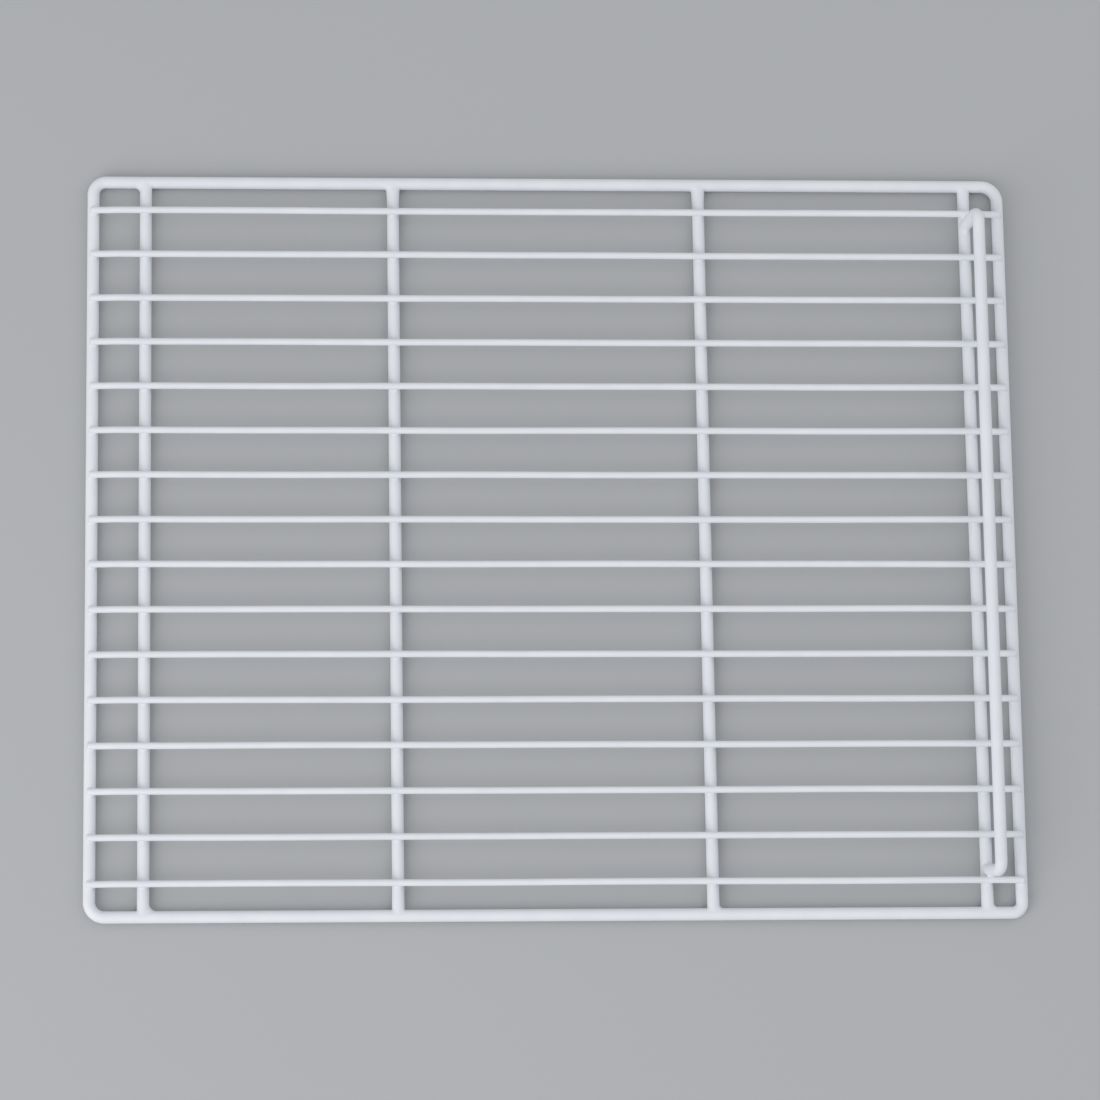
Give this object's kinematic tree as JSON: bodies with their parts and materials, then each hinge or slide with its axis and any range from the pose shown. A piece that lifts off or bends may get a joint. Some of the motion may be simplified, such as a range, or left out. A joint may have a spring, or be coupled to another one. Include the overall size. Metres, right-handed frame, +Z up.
{
  "type": "refrigerator shelf",
  "caption": "Flat shelf of white coated steel wire for a refrigerator: a rounded rectangular rim, cross rods, thin deck wires on top and a raised stop bar along the rear edge.",
  "frame": {"origin": "middle of the underside, on the plane that the rim and the cross rods rest on", "axes": "+X from the front edge to the rear edge, where the stop stands; +Y across the shelf, to the left seen from the front; +Z up, from the rim to the deck wires"},
  "size_m": [0.65, 0.53, 0.0365],
  "materials": {
    "white_coating": "satin white plastic coating over steel wire"
  },
  "bodies": {
    "root": {"rim_frame": "white_coating", "front_cross_rod": "white_coating", "middle_cross_rod_1": "white_coating", "middle_cross_rod_2": "white_coating", "rear_cross_rod": "white_coating", "deck_wire_01": "white_coating", "deck_wire_02": "white_coating", "deck_wire_03": "white_coating", "deck_wire_04": "white_coating", "deck_wire_05": "white_coating", "deck_wire_06": "white_coating", "deck_wire_07": "white_coating", "deck_wire_08": "white_coating", "deck_wire_09": "white_coating", "deck_wire_10": "white_coating", "deck_wire_11": "white_coating", "deck_wire_12": "white_coating", "deck_wire_13": "white_coating", "deck_wire_14": "white_coating", "deck_wire_15": "white_coating", "deck_wire_16": "white_coating", "rear_stop": "white_coating"}
  },
  "joints": []
}
